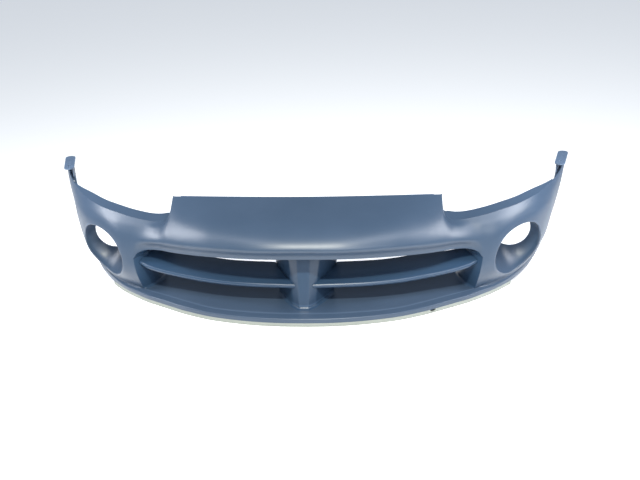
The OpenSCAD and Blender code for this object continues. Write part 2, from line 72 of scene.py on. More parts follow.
def arch(z):
    """Point of the wheel-arch edge at height z."""
    return (ARCH_X + ARCH_LEAN * z, ARCH_Y - math.sqrt(ARCH_R**2 - (z - ARCH_Z) ** 2), z)


# ---- Rails: curves that run across one half of the skin, as (station, (x, y, z)) ----
HOOD = [(0, (0, 300, 326)), (230, (230, 306, 326)), (463, (463, 318, 325))]
LAMP = [(463, (463, 318, 325)), (472, (464, 299, 292)), (484, (468, 281, 267)),
        (500, (482, 268, 257)), (545, (530, 262, 256)), (600, (597, 272, 266)),
        (660, (660, 294, 277)), (730, (727, 330, 287)), (795, (795, 392, 298)),
        (850, (852, 474, 309)), (866, (886, 532, 320)), (880, arch(356))]
BROW = [(0, (0, 110, 296)), (150, (150, 116, 296)), (300, (300, 150, 290)),
        (400, (400, 190, 280)), (463, (463, 216, 268)), (500, (500, 228, 246)),
        (550, (550, 240, 238)), (600, (597, 246, 240)), (660, (660, 262, 247)),
        (730, (727, 304, 256)), (795, (795, 368, 266)), (850, (850, 448, 276)),
        (880, arch(296))]
NOSE = [(0, (0, 36, 250)), (150, (150, 43, 248)), (300, (300, 84, 240)),
        (400, (400, 130, 228)), (463, (463, 166, 218)), (500, (500, 188, 212)),
        (550, (550, 210, 204)), (597, (597, 225, 203)), (655, (655, 240, 210)),
        (725, (725, 288, 222)), (795, (795, 352, 234)), (848, (848, 432, 242)),
        (880, arch(250))]
MOUTH = [(0, (0, 50, 206)), (150, (150, 57, 204)), (300, (300, 96, 195)),
         (400, (400, 140, 185)), (463, (463, 176, 178)), (500, (500, 197, 175)),
         (550, (550, 215, 168)), (580, (583, 214, 156)), (597, (597, 210, 140)),
         (650, (650, 226, 150)), (725, (725, 282, 165)), (795, (795, 350, 178)),
         (845, (845, 430, 190)), (880, arch(200))]
CHEEK = [(0, (0, 40, 100)), (300, (300, 80, 100)), (463, (463, 140, 95)),
         (560, (560, 180, 90)), (597, (588, 200, 85)), (650, (645, 224, 88)),
         (725, (722, 276, 95)), (792, (792, 352, 108)), (840, (832, 430, 120)),
         (880, arch(130))]
STEP = [(0, (0, 32, 18)), (150, (150, 40, 18)), (300, (300, 70, 18)),
        (400, (400, 118, 18)), (463, (463, 154, 18)), (500, (500, 175, 18)),
        (560, (555, 205, 18)), (597, (575, 218, 18)), (650, (640, 262, 18)),
        (725, (705, 322, 20)), (795, (765, 395, 31)), (845, (800, 450, 45)),
        (880, arch(60))]
FRONT = [(0, (0, 2, 15)), (150, (150, 11, 15)), (300, (300, 42, 15)),
         (400, (400, 84, 15)), (463, (463, 120, 15)), (500, (500, 142, 15)),
         (560, (548, 168, 15)), (597, (575, 190, 15)), (650, (640, 240, 15)),
         (725, (705, 312, 15)), (795, (765, 392, 25)), (845, (800, 449, 39)),
         (880, arch(54))]
FOOT = [(0, (0, 0, 0)), (150, (150, 9, 0)), (300, (300, 42, 0)), (400, (400, 84, 0)),
        (463, (463, 120, 0)), (500, (500, 142, 0)), (560, (550, 172, 0)),
        (597, (580, 194, 0)), (650, (645, 248, 0)), (725, (708, 316, 0)),
        (795, (767, 396, 11)), (845, (801, 452, 28)), (880, arch(46))]


# ---- Smooth curves ----
def hermite(knots, points, x, square_start=False):
    """Smooth curve through points at knots, at each x. points is (k, 3), or (k, n, 3)
    with a column of its own for each of the n values of x."""
    i = np.clip(np.searchsorted(knots, x, side="right") - 1, 0, len(knots) - 2)
    low = np.maximum(np.arange(len(knots)) - 1, 0)
    high = np.minimum(np.arange(len(knots)) + 1, len(knots) - 1)
    gaps = (knots[high] - knots[low]).reshape(-1, *[1] * (points.ndim - 1))
    slopes = (points[high] - points[low]) / gaps
    if square_start:
        slopes[0, 1:] = 0
    column = np.arange(len(x))
    pick = (lambda a, k: a[k]) if points.ndim == 2 else (lambda a, k: a[k, column])
    h = (knots[i + 1] - knots[i])[:, None]
    s = ((x - knots[i]) / h.ravel())[:, None]
    return ((2 * s**3 - 3 * s**2 + 1) * pick(points, i)
            + (s**3 - 2 * s**2 + s) * h * pick(slopes, i)
            + (3 * s**2 - 2 * s**3) * pick(points, i + 1)
            + (s**3 - s**2) * h * pick(slopes, i + 1))


def rail(table, t):
    """Points of a rail at each station t."""
    knots = np.array([row[0] for row in table], float)
    points = np.array([row[1] for row in table], float)
    return hermite(knots, points, t, square_start=knots[0] == 0)


def lower_column(step, front, foot, v):
    """The lip's step and its front face: two straight runs with a rounded corner."""
    w = (v - ROW_FRONT)[:, None]
    straight = np.where(w < 0, front + (front - step) * w, front + (foot - front) * w)
    before = front - (front - step) * LIP_SOFT
    after = front + (foot - front) * LIP_SOFT
    s = np.clip((w + LIP_SOFT) / (2 * LIP_SOFT), 0, 1)
    corner = (1 - s) ** 2 * before + 2 * s * (1 - s) * front + s**2 * after
    return np.where(abs(w) < LIP_SOFT, corner, straight)


def half_surface(t, v):
    """Outer surface of the right half at stations t and rows v."""
    top = np.where((t < ST_CORNER)[:, None], rail(HOOD, t), rail(LAMP, t))
    step = rail(STEP, t)
    upper = np.stack([top] + [rail(r, t) for r in (BROW, NOSE, MOUTH, CHEEK)] + [step])
    foot = rail(FOOT, t)
    foot[:, 2] = np.maximum(foot[:, 2], 0)
    above = hermite(UPPER_ROWS, upper, v)
    front = rail(FRONT, t)
    below = lower_column(step, front, foot, v)
    sharp = np.where((v < ROW_STEP)[:, None], above, below)
    # outside the mouth the cheek rolls into the lip
    start = hermite(UPPER_ROWS, upper, np.full(len(v), ROW_STEP - ROLL_UP))
    end = step + (front - step) * ROLL_OUT
    s = np.clip((v - ROW_STEP + ROLL_UP) / (ROLL_UP + ROLL_OUT), 0, 1)[:, None]
    rolled = (1 - s) ** 2 * start + 2 * s * (1 - s) * step + s**2 * end
    grown = np.clip((t - ST_MOUTH - ROLL_GAP) / ROLL_FADE, 0, 1)
    share = grown * (abs(s[:, 0] - 0.5) < 0.5)
    return sharp + (rolled - sharp) * share[:, None]


def half_normal(t, v):
    """Outward normals of the right half at stations t and rows v."""
    on_step = (v <= ROW_STEP) & (v > ROW_STEP - TINY_V) & (t <= ST_MOUTH)
    v_up = np.where(on_step, v, v - TINY_V)
    across = half_surface(t + TINY_T, v) - half_surface(np.maximum(t - TINY_T, 0), v)
    down = half_surface(t, v + TINY_V) - half_surface(t, v_up)
    return unit(np.cross(down, across))


def unit(a):
    return a / np.linalg.norm(a, axis=-1, keepdims=True)


def on_half(function, t, v):
    """Value of a right-half function for arrays of signed t and v of any shape."""
    t, v = np.broadcast_arrays(np.asarray(t, float), np.asarray(v, float))
    out = function(np.abs(t).ravel(), v.ravel())
    out[:, 0] *= np.where(t.ravel() < 0, -1, 1)
    return out.reshape(*t.shape, 3)


def outer(t, v):
    return on_half(half_surface, t, v)


def normal(t, v):
    return on_half(half_normal, t, v)


def inner(t, v):
    return outer(t, v) - SKIN_T * normal(t, v)


def level(a):
    """Directions turned level: their height is taken out."""
    flat = np.array(a, float)
    flat[..., 2] = 0
    return unit(flat)


def grid_normal(g):
    """Normals of a grid of points, rows down and columns across."""
    down = np.gradient(g, axis=0)
    across = np.gradient(g, axis=1)
    return unit(np.cross(down, across))


def spaced(*stops):
    """Evenly spaced values from stop to stop: spaced(a, n, b, m, c)."""
    out = [np.array([stops[0]], float)]
    for k in range(0, len(stops) - 2, 2):
        out.append(np.linspace(stops[k], stops[k + 2], stops[k + 1] + 1)[1:])
    return np.concatenate(out)


def rounded(corners, steps=4):
    """Closed 2-D outline with each corner (x, y, radius) rounded off."""
    p = np.array([c[:2] for c in corners], float)
    out = []
    for k, (x, y, r) in enumerate(corners):
        a = unit(p[k - 1] - p[k])
        b = unit(p[(k + 1) % len(p)] - p[k])
        for s in np.linspace(0, 1, steps + 1):
            out.append(p[k] + r * ((1 - s) ** 2 * a + s**2 * b))
    return np.array(out)


# ---- Mesh makers ----
def piece(name, points, faces, material, bevelled=(), smooth_angle=38, node=None, slot=None):
    """A mesh piece from points in design millimetres."""
    mesh = bpy.data.meshes.new(name)
    mesh.from_pydata((np.asarray(points) * MM + ORIGIN).tolist(), [], faces)
    mesh.validate()
    for polygon in mesh.polygons:
        polygon.use_smooth = True
    mesh.set_sharp_from_angle(angle=math.radians(smooth_angle))
    materials = material if isinstance(material, (list, tuple)) else [material]
    for m in materials:
        mesh.materials.append(m)
    obj = bpy.data.objects.new(name, mesh)
    bpy.context.scene.collection.objects.link(obj)
    if len(bevelled):
        keys = {tuple(sorted(e)) for e in bevelled}
        weights = mesh.attributes.new("bevel_weight_edge", "FLOAT", "EDGE")
        flags = [1.0 if tuple(sorted(e.vertices)) in keys else 0.0 for e in mesh.edges]
        weights.data.foreach_set("value", flags)
        round_edges(obj, "WEIGHT")
    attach(obj, "root")
    if node:
        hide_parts(node)
    return obj


def round_edges(obj, limit="ANGLE", width=EDGE_R):
    """Narrow bevel on marked edges, or on every edge sharper than 40 degrees."""
    bevel = obj.modifiers.new("rounding", "BEVEL")
    bevel.width = width * MM
    bevel.segments = 2
    bevel.limit_method = limit
    bevel.angle_limit = math.radians(40)
    bevel.harden_normals = True
    bevel.miter_outer = "MITER_ARC"


def sheet(name, front, back, material, missing=None, ring=False, soft=None, **more):
    """Closed panel between two grids of points. missing marks holes by cell, and soft
    marks the points whose rim keeps its corner, because another panel joins there."""
    rows, cols = front.shape[:2]
    total = rows * cols
    cells = cols if ring else cols - 1
    if missing is None:
        missing = np.zeros((rows - 1, cells), bool)
    if soft is None:
        soft = np.zeros((rows, cols), bool)
    soft = soft.ravel()
    faces, rims = [], []

    def index(i, j):
        return i * cols + j % cols

    def solid(i, j):
        if not 0 <= i < rows - 1:
            return False
        if not ring and not 0 <= j < cells:
            return False
        return not missing[i, j % cells]

    def rim(a, b):
        faces.append((a, b, b + total, a + total))
        if not (soft[a] and soft[b]):
            rims.extend([(a, b), (a + total, b + total)])

    for i in range(rows - 1):
        for j in range(cells):
            if missing[i, j]:
                continue
            a, b, c, d = index(i, j), index(i, j + 1), index(i + 1, j + 1), index(i + 1, j)
            faces.append((a, d, c, b))
            faces.append((a + total, b + total, c + total, d + total))
            if not solid(i - 1, j):
                rim(a, b)
            if not solid(i + 1, j):
                rim(c, d)
            if not solid(i, j - 1):
                rim(d, a)
            if not solid(i, j + 1):
                rim(b, c)
    points = np.concatenate([front.reshape(-1, 3), back.reshape(-1, 3)])
    obj = piece(name, points, faces, material, rims, **more)
    if len(obj.data.materials) > 1:
        for polygon in obj.data.polygons:
            if min(polygon.vertices) >= total:
                polygon.material_index = 1


def loft(name, sections, material, **more):
    """Closed solid through a row of closed sections."""
    count, n = sections.shape[:2]
    faces = []
    for i in range(count - 1):
        for j in range(n):
            k = (j + 1) % n
            faces.append((i * n + j, i * n + k, (i + 1) * n + k, (i + 1) * n + j))
    faces.append(tuple(range(n - 1, -1, -1)))
    faces.append(tuple((count - 1) * n + j for j in range(n)))
    piece(name, sections.reshape(-1, 3), faces, material, **more)


def mirrored(grid, side):
    """The grid on its own side of the car; the left one is mirrored, columns reversed."""
    if side > 0:
        return grid
    out = grid[:, ::-1].copy()
    out[..., 0] *= -1
    return out


SIDES = ((-1, "left"), (1, "right"))


# ---- Materials ----
DRIFT_SCALE, SPECKLE_SCALE = 4.5, 900   # noise sizes, in waves per metre
GLOSS_SCALE, PEEL_SCALE = 26, 420
PEEL_DEPTH = 0.00012                    # metres
GLOSS_BELOW, GLOSS_ABOVE = 0.04, 0.05   # spread of the roughness
COAT_ROUGHNESS = 0.32
WEAR_AND_HIGHLIGHT_START, WEAR_AND_HIGHLIGHT_FULL = 0.53, 0.62      # how pointed an edge is where it turns lighter: partly rubbed wear, partly painted highlight


def primer(name, colour, tint, roughness, grain=0.35, coat=0.12):
    """Satin primer: slow colour drift, orange-peel bump, lighter pointed edges that are partly
    rubbed wear and partly painted highlight.
    """
    material = bpy.data.materials.new(name)
    material.use_nodes = True
    nodes, links = material.node_tree.nodes, material.node_tree.links
    shader = nodes["Principled BSDF"]
    shader.inputs["Coat Weight"].default_value = coat
    shader.inputs["Coat Roughness"].default_value = COAT_ROUGHNESS
    place = nodes.new("ShaderNodeTexCoord").outputs["Object"]

    def noise(scale, detail):
        node = nodes.new("ShaderNodeTexNoise")
        node.inputs["Scale"].default_value = scale
        node.inputs["Detail"].default_value = detail
        links.new(place, node.inputs["Vector"])
        return node.outputs["Fac"]

    def ramp(source, low, high, a, b):
        node = nodes.new("ShaderNodeValToRGB")
        node.color_ramp.elements[0].position = low
        node.color_ramp.elements[1].position = high
        node.color_ramp.elements[0].color = (*a, 1)
        node.color_ramp.elements[1].color = (*b, 1)
        links.new(source, node.inputs["Fac"])
        return node.outputs["Color"]

    def blend(fac, a, b):
        node = nodes.new("ShaderNodeMix")
        node.data_type = "RGBA"
        links.new(fac, node.inputs["Factor"])
        links.new(a, node.inputs["A"])
        node.inputs["B"].default_value = (*b, 1)
        return node.outputs["Result"]

    drift = ramp(noise(DRIFT_SCALE, 3), 0.3, 0.7, colour, tint)
    speckle = ramp(noise(SPECKLE_SCALE, 2), 0.35, 0.75, (0, 0, 0), (0.18, 0.18, 0.18))
    fleck = tuple(1.25 * c for c in tint)
    # lighter colour on pointed edges: partly rubbed wear, partly a painted highlight along
    # crests and rims
    rubbed_and_highlit = tuple(min(1, 1.9 * c + 0.03) for c in tint)
    body = blend(speckle, drift, fleck)
    pointed = nodes.new("ShaderNodeNewGeometry").outputs["Pointiness"]
    wear_and_highlight = ramp(pointed, WEAR_AND_HIGHLIGHT_START, WEAR_AND_HIGHLIGHT_FULL, (0, 0, 0), (0.55, 0.55, 0.55))
    worn_and_highlit = blend(wear_and_highlight, body, rubbed_and_highlit)
    links.new(worn_and_highlit, shader.inputs["Base Color"])
    gloss = nodes.new("ShaderNodeMapRange")
    gloss.inputs["To Min"].default_value = roughness - GLOSS_BELOW
    gloss.inputs["To Max"].default_value = roughness + GLOSS_ABOVE
    links.new(noise(GLOSS_SCALE, 4), gloss.inputs["Value"])
    links.new(gloss.outputs["Result"], shader.inputs["Roughness"])
    peel = nodes.new("ShaderNodeBump")
    peel.inputs["Strength"].default_value = grain
    peel.inputs["Distance"].default_value = PEEL_DEPTH
    links.new(noise(PEEL_SCALE, 3), peel.inputs["Height"])
    links.new(peel.outputs["Normal"], shader.inputs["Normal"])
    return material


SKIN_PRIMER = primer("primer_skin", (0.036, 0.061, 0.103), (0.043, 0.07, 0.116), 0.38)
# a darker, bluer copy of the skin's primer: painted shade for the recessed duct's walls, post,
# crossbars and the floor's underside
SHADED_DUCT_PRIMER = primer("primer_duct_painted_shade", (0.022, 0.05, 0.098), (0.027, 0.058, 0.11), 0.34, 0.35, 0.3)
BRACKET_PRIMER = primer("primer_bracket", (0.065, 0.1, 0.16), (0.075, 0.112, 0.178), 0.45)
RAW_PLASTIC = primer("raw_plastic", (0.03, 0.042, 0.062), (0.038, 0.052, 0.075), 0.6, 0.6, 0)
STRIP_RUBBER = primer("pale_strip", (0.26, 0.28, 0.255), (0.31, 0.33, 0.3), 0.6, 0.5, 0)
ZINC = primer("zinc_steel", (0.42, 0.43, 0.44), (0.5, 0.51, 0.52), 0.34, 0.2, 0)
ZINC.node_tree.nodes["Principled BSDF"].inputs["Metallic"].default_value = 0.9

# ---- Bumper skin ----
FOG_T, FOG_V = 724.0, 3.4           # middle of the fog opening, station and row
FOG_HALF_T, FOG_HALF_V = 81.0, 1.35
FOG_ROLL = 1.065                    # the skin stops here, where the tunnel's roll begins
FOG_CORE, FOG_REACH = 0.86, 1.24    # where the warp round the opening starts and ends

half_stations = spaced(0, 56, 435, 6, ST_CORNER, 12, 500, 20, ST_MOUTH, 14,
                       FOG_T - FOG_CORE * FOG_HALF_T, 56, FOG_T + FOG_CORE * FOG_HALF_T,
                       26, ST_END)
stations = np.concatenate([-half_stations[:0:-1], half_stations])
FOG_TOP, FOG_BOTTOM = FOG_V - FOG_CORE * FOG_HALF_V, FOG_V + FOG_CORE * FOG_HALF_V
rows = spaced(0, 30, FOG_TOP, 12, ROW_LIP, 26, FOG_BOTTOM, 6, ROW_STEP - ROLL_UP, 8, ROW_STEP,
              12, ROW_FRONT, 10, ROW_FOOT)


def warp(t, v):
    """Bends the grid so that the square index hole becomes the fog opening."""
    s = (np.abs(t) - FOG_T) / FOG_HALF_T
    q = (v - FOG_V) / FOG_HALF_V
    m = np.maximum(np.abs(s), np.abs(q))
    k = np.clip((m - FOG_CORE) / (FOG_REACH - FOG_CORE), 0, 1)
    ring = (FOG_ROLL + (m - FOG_CORE) / 2) / np.maximum(np.hypot(s, q), 1e-6)
    near = (m < FOG_REACH) & (m > 0.01)
    su = np.where(near, (1 - k) * s * ring + k * s, s)
    qu = np.where(near, (1 - k) * q * ring + k * q, q)
    return np.where(t < 0, -1, 1) * (FOG_T + FOG_HALF_T * su), FOG_V + FOG_HALF_V * qu


def make_skin():
    """One shell with the mouth and both fog openings left out."""
    t, v = np.meshgrid(stations, rows)
    mid_t = np.abs(stations[1:] + stations[:-1]) / 2
    mid_v = ((rows[1:] + rows[:-1]) / 2)[:, None]
    in_mouth = (mid_t < ST_MOUTH) & (mid_v > ROW_LIP) & (mid_v < ROW_STEP)
    in_fog = (abs(mid_t - FOG_T) < FOG_CORE * FOG_HALF_T) & (
        abs(mid_v - FOG_V) < FOG_CORE * FOG_HALF_V)
    at_fog = (abs(abs(t) - FOG_T) < FOG_CORE * FOG_HALF_T + NEAR_T) & (
        abs(v - FOG_V) < FOG_CORE * FOG_HALF_V + NEAR_V)
    at_floor = (abs(v - ROW_STEP) < 1e-6) & (abs(t) <= ST_MOUTH)
    wt, wv = warp(t, v)
    front = outer(wt, wv)
    back = front - SKIN_T * normal(wt, wv)
    sheet("bumper_skin_shell", front, back, [SKIN_PRIMER, RAW_PLASTIC], in_mouth | in_fog,
          soft=at_fog | at_floor, node="bumper_skin", slot="primed_skin")


# ---- Headlamp ledges ----
LEDGE_W, LEDGE_END, LEDGE_RISE = 46.0, 854.0, 0.22
LEDGE_START_FADE, LEDGE_END_FADE = 40.0, 115.0
LEDGE_START_LEFT, LEDGE_END_LEFT = 2.0, 14.0    # so that some width is left at both ends


def make_ledge(side, word):
    """Ledge that runs back and slightly up from the headlamp edge."""
    line = half_stations[(half_stations >= ST_CORNER) & (half_stations <= LEDGE_END)]
    grown = np.minimum(1, (line - ST_CORNER + LEDGE_START_LEFT) / LEDGE_START_FADE)
    faded = np.minimum(1, (LEDGE_END + LEDGE_END_LEFT - line) / LEDGE_END_FADE)
    reach = LEDGE_W * grown * np.sin(faded * math.pi / 2)
    edge = outer(line, 0)
    shares = spaced(0, 3, 0.15, 6, 1)
    top = edge + shares[:, None, None] * reach[None, :, None] * np.array([0, 1, LEDGE_RISE])
    under = top + PANEL_T * grid_normal(top)
    under[0] = inner(line, 0)
    sheet(f"headlamp_ledge_{word}_panel", mirrored(under, side), mirrored(top, side),
          SKIN_PRIMER, node=f"headlamp_ledge_{word}", slot="primed_skin")


# ---- Mouth duct: side walls, floor, post and crossbars ----
DUCT_D, DUCT_TAPER = 130.0, 58.0
ROOF_START, ROOF_RISE = 480.0, 10.0
FILLET = 9.0                        # roll where the walls and the post meet the floor
FLOOR_Z = 18.0
WALL_FINE_ROW, WALL_FINE = 4.9, 10  # the wall has this many finer rows below this one
WALL_SWELL = 0.04                   # share of the duct's depth over which its fillet grows


def closing(u):
    """How far the duct's side has come in at a share u of its depth."""
    return DUCT_TAPER * (1 - (1 - u) ** 2)


def roll(height):
    """How far a fillet of FILLET reaches sideways at a height over the floor."""
    h = np.clip(height, 0, FILLET)
    return FILLET - np.sqrt(FILLET**2 - (FILLET - h) ** 2)


def make_wall(side, word):
    """Side wall of the duct with the piece of roof that runs on along the mouth's top."""
    along_lip = half_stations[(half_stations >= ROOF_START) & (half_stations <= ST_MOUTH)]
    down = rows[(rows > ROW_LIP) & (rows < ROW_STEP)]
    low = spaced(WALL_FINE_ROW, WALL_FINE, ROW_STEP)
    down = np.concatenate([down[down < WALL_FINE_ROW], low])
    t = np.concatenate([along_lip, np.full(len(down), ST_MOUTH)])
    v = np.concatenate([np.full(len(along_lip), ROW_LIP), down])
    share = np.where(v > ROW_LIP, 1, np.sqrt((t - ROOF_START) / (ST_MOUTH - ROOF_START)))
    u = spaced(0, 4, WALL_SWELL, 16, 1)[:, None]
    edge = outer(t, v)
    fillet = roll(edge[:, 2] - FLOOR_Z) * np.where(v > ROW_LIP, 1, 0)
    flare = fillet * np.clip(u / WALL_SWELL, 0, 1)
    shift = np.stack([-closing(u) * share - flare, DUCT_D * u + 0 * share,
                      ROOF_RISE * (1 - share) * u], axis=-1)
    face = edge[None] + shift
    n = grid_normal(face)
    n[:, -WALL_FINE:] = level(n[:, -WALL_FINE:])
    rear = face - PANEL_T * n
    rear[0] = inner(t, v)
    sheet(f"scoop_wall_{word}_panel", mirrored(face, side), mirrored(rear, side),
          [SHADED_DUCT_PRIMER, RAW_PLASTIC], node=f"scoop_wall_{word}", slot="primed_duct")


def make_floor():
    """Flat floor of the duct, narrower towards the back."""
    line = stations[abs(stations) <= ST_MOUTH]
    corner = outer(ST_MOUTH, ROW_STEP)
    edge = outer(line, ROW_STEP)
    u = spaced(0, 24, 1)[:, None]
    top = np.stack([edge[:, 0] * (1 - closing(u) / corner[0]),
                    edge[:, 1] + (corner[1] + DUCT_D - edge[:, 1]) * u,
                    edge[:, 2] + 0 * u], axis=-1)
    under = top - np.array([0, 0, PANEL_T])
    under[0] = inner(line, ROW_STEP)
    soft = np.zeros(top.shape[:2], bool)
    soft[0] = True
    sheet("scoop_floor_panel", under, top, [SHADED_DUCT_PRIMER, SKIN_PRIMER], soft=soft,
          node="scoop_floor", slot="primed_duct")


POST_W, POST_H, POST_FOOT_Y, POST_LEAN = 42.0, 205.0, 66.0, 0.27
POST_DEPTH = 125.0
POST_WIDTHS = [(0, 0), (22, 29), (44, 43), (64, 56), (100, 76), (POST_DEPTH, 88)]
POST_FOOT_SHARE, POST_FOOT_BACK, POST_TAPER_H = 0.72, 0.86, 150.0
POST_COLUMNS = (125, 112, 100, 82, 66, 62, 46, 42, 33, 24, 20, 10, 2.5, 1, 0.3)
POST_CORNER = 0.6                   # pull-in of the front corners
POST_LAST = 8.0                     # height of the last row above the fillet's rows


def post_front(z):
    """Depth of the post's front face at height z."""
    return POST_FOOT_Y + POST_LEAN * (z - FLOOR_Z)


def post_half(y, z):
    """Half width of the post at depth y and height z."""
    depths, widths = zip(*POST_WIDTHS)
    d = y - post_front(z)
    foot = POST_FOOT_SHARE + (POST_FOOT_BACK - POST_FOOT_SHARE) * d / POST_DEPTH
    full = foot + (1 - foot) * np.minimum(1, (z - FLOOR_Z) / POST_TAPER_H)
    return (POST_W / 2 + np.interp(d, depths, widths)) * full


def make_post():
    """Wedge shell of the post, open at the back."""
    # seen from above, back to front to back: share of the half width, depth, pull-in
    left = [(-1, depth, POST_CORNER if depth < 0.5 else 0) for depth in POST_COLUMNS]
    nose = [(share, 0, 0) for share in (-0.9, -0.5, 0, 0.5, 0.9)]
    right_side = [(1, depth, pull) for _, depth, pull in left[::-1]]
    path = np.array(left + nose + right_side, float)
    low = FILLET * (1 - np.linspace(0, 1, 8)) ** 1.6
    levels = np.concatenate([np.linspace(POST_H, POST_LAST, 30), low])
    z = (FLOOR_Z + levels)[:, None]
    y = post_front(z) + path[:, 1]
    x = path[:, 0] * post_half(y, z) - np.sign(path[:, 0]) * path[:, 2]
    face = np.stack([x, y, z + 0 * x], axis=-1)
    n = level(grid_normal(face))
    face = face + roll(levels)[:, None, None] * n
    rear = np.stack([x, y, z + 0 * x], axis=-1) - PANEL_T * n
    sheet("center_post_shell", face, rear, [SHADED_DUCT_PRIMER, RAW_PLASTIC],
          node="center_post", slot="primed_duct")


BAR_H, BAR_CHORD, BAR_RISE, BAR_BACK = 14.0, 125.0, 26.0, 4.0
BAR_START, BAR_END, BAR_TAPER_FROM, BAR_TIP = 45.0, 582.0, 380.0, 0.6
BAR_SECTIONS = 90
POST_GAP, WALL_GAP = 2.0, 2.5
BAR_RAIL = [(45, (45, 95, 80)), (195, (195, 105, 82)), (305, (305, 128, 83)),
            (400, (400, 160, 86)), (500, (500, 188, 97)), (585, (585, 222, 110))]


def wall_x(y, z):
    """x of the duct's right wall at depth y and height z."""
    v = np.linspace(ROW_STEP, ROW_LIP, 33)
    edge = outer(np.full(len(v), ST_MOUTH), v)
    x = np.interp(z, edge[:, 2], edge[:, 0])
    edge_y = np.interp(z, edge[:, 2], edge[:, 1])
    return x - closing(np.clip((y - edge_y) / DUCT_D, 0, 1))


def make_crossbar(side, word):
    """Wedge bar from the post to the wall, slimmer towards its outer end."""
    sections = []
    for a in np.linspace(0, 1, BAR_SECTIONS):
        x = BAR_START + (BAR_END - BAR_START) * a
        base = rail(BAR_RAIL, np.array([x]))[0]
        share = 1 - (1 - BAR_TIP) * max(0, x - BAR_TAPER_FROM) / (BAR_END - BAR_TAPER_FROM)
        c, rise = BAR_CHORD * share, BAR_RISE * share
        tail = BAR_H + rise
        # depth, height and corner radius: round nose, top, thin back edge, underside
        outline = rounded([(0, 0, 2.2), (-3, 0.5 * BAR_H, 3), (1, BAR_H, 3.4),
                           (0.35 * c, BAR_H + 0.35 * rise, 8), (0.7 * c, BAR_H + 0.7 * rise, 8),
                           (c, tail, 1.2), (c, tail - BAR_BACK, 1.2),
                           (0.5 * c, 0.5 * (tail - BAR_BACK), 8)])
        y, z = base[1] + outline[:, 0], base[2] + outline[:, 1]
        start = post_half(y, z) + POST_GAP
        end = wall_x(y, z) - WALL_GAP
        sections.append(np.stack([start + (end - start) * a, y, z], axis=-1))
    sections = np.array(sections)
    if side < 0:
        sections = sections[::-1] * np.array([-1, 1, 1])
    loft(f"crossbar_{word}_blade", sections, SHADED_DUCT_PRIMER, smooth_angle=50,
         node=f"crossbar_{word}", slot="primed_duct")


# ---- Fog-lamp tunnels ----
FOG_REAR = np.array([708.0, 395.0, 168.0])
FOG_R, FOG_BOWL = 68.0, 12.0
FOG_ROLL_MM, FOG_ROLL_MOST = 7.0, 0.2   # length of the rolled rim, and its largest share


def make_tunnel(side, word):
    """Tunnel from a rolled rim in the skin back to the lamp, with a slight bowl below."""
    # once round the square index hole, clockwise from its inner top corner
    columns = half_stations[abs(half_stations - FOG_T) <= FOG_CORE * FOG_HALF_T + 1e-6]
    inside = rows[abs(rows - FOG_V) <= FOG_CORE * FOG_HALF_V + 1e-6]
    t = np.concatenate([columns, np.full(len(inside) - 1, columns[-1]), columns[-2::-1],
                        np.full(len(inside) - 2, columns[0])])
    v = np.concatenate([np.full(len(columns), inside[0]), inside[1:],
                        np.full(len(columns) - 1, inside[-1]), inside[-2:0:-1]])
    wt, wv = warp(t, v)
    start = outer(wt, wv)                   # where the roll leaves the skin
    s = (wt - FOG_T) / FOG_HALF_T
    q = (wv - FOG_V) / FOG_HALF_V
    r = np.hypot(s, q)
    edge = outer(FOG_T + FOG_HALF_T * s / r, FOG_V + FOG_HALF_V * q / r)
    way = unit(np.stack([s, 0 * s, -q], axis=-1))
    run = FOG_REAR + FOG_R * way - edge
    begin = np.minimum(FOG_ROLL_MM / np.linalg.norm(run, axis=-1)[:, None], FOG_ROLL_MOST)
    f = begin + (1 - begin) * spaced(0, 28, 1)[:, None, None]
    bulge = FOG_BOWL * (1 - way[:, 2:]) / 2 * np.sin(math.pi * f)
    wall = edge + run * f + bulge * way
    b = np.linspace(0, 1, 10)[:-1, None, None]
    lip = (1 - b) ** 2 * start + 2 * b * (1 - b) * edge + b**2 * wall[0]
    face = np.concatenate([lip, wall])
    skin_n = normal(wt, wv)
    hidden = face + PANEL_T * way
    hidden[0] = start - SKIN_T * skin_n
    for k in range(1, len(lip)):
        mix = k / len(lip)
        hidden[k] = face[k] + PANEL_T * unit((mix - 1) * skin_n + mix * way)
    soft = np.zeros(face.shape[:2], bool)
    soft[0] = True
    sheet(f"fog_tunnel_{word}_shell", mirrored(face, side), mirrored(hidden, side),
          [SKIN_PRIMER, RAW_PLASTIC], ring=True, soft=soft, node=f"fog_tunnel_{word}",
          slot="primed_duct")


# ---- Lip strip ----
STRIP_T, STRIP_LEG, STRIP_LEG_T, STRIP_END = 5.0, 34.0, 4.0, 725.0
STRIP_TOE_IN, STRIP_TOE_UP = 1.2, 0.9   # small bevel along the strip's front toe
NOTCH_T, NOTCH_R, NOTCH_WEB = 428.0, 9.0, 0.4
NOTCH_SPAN = 1.57                       # half the notch's arc, radians


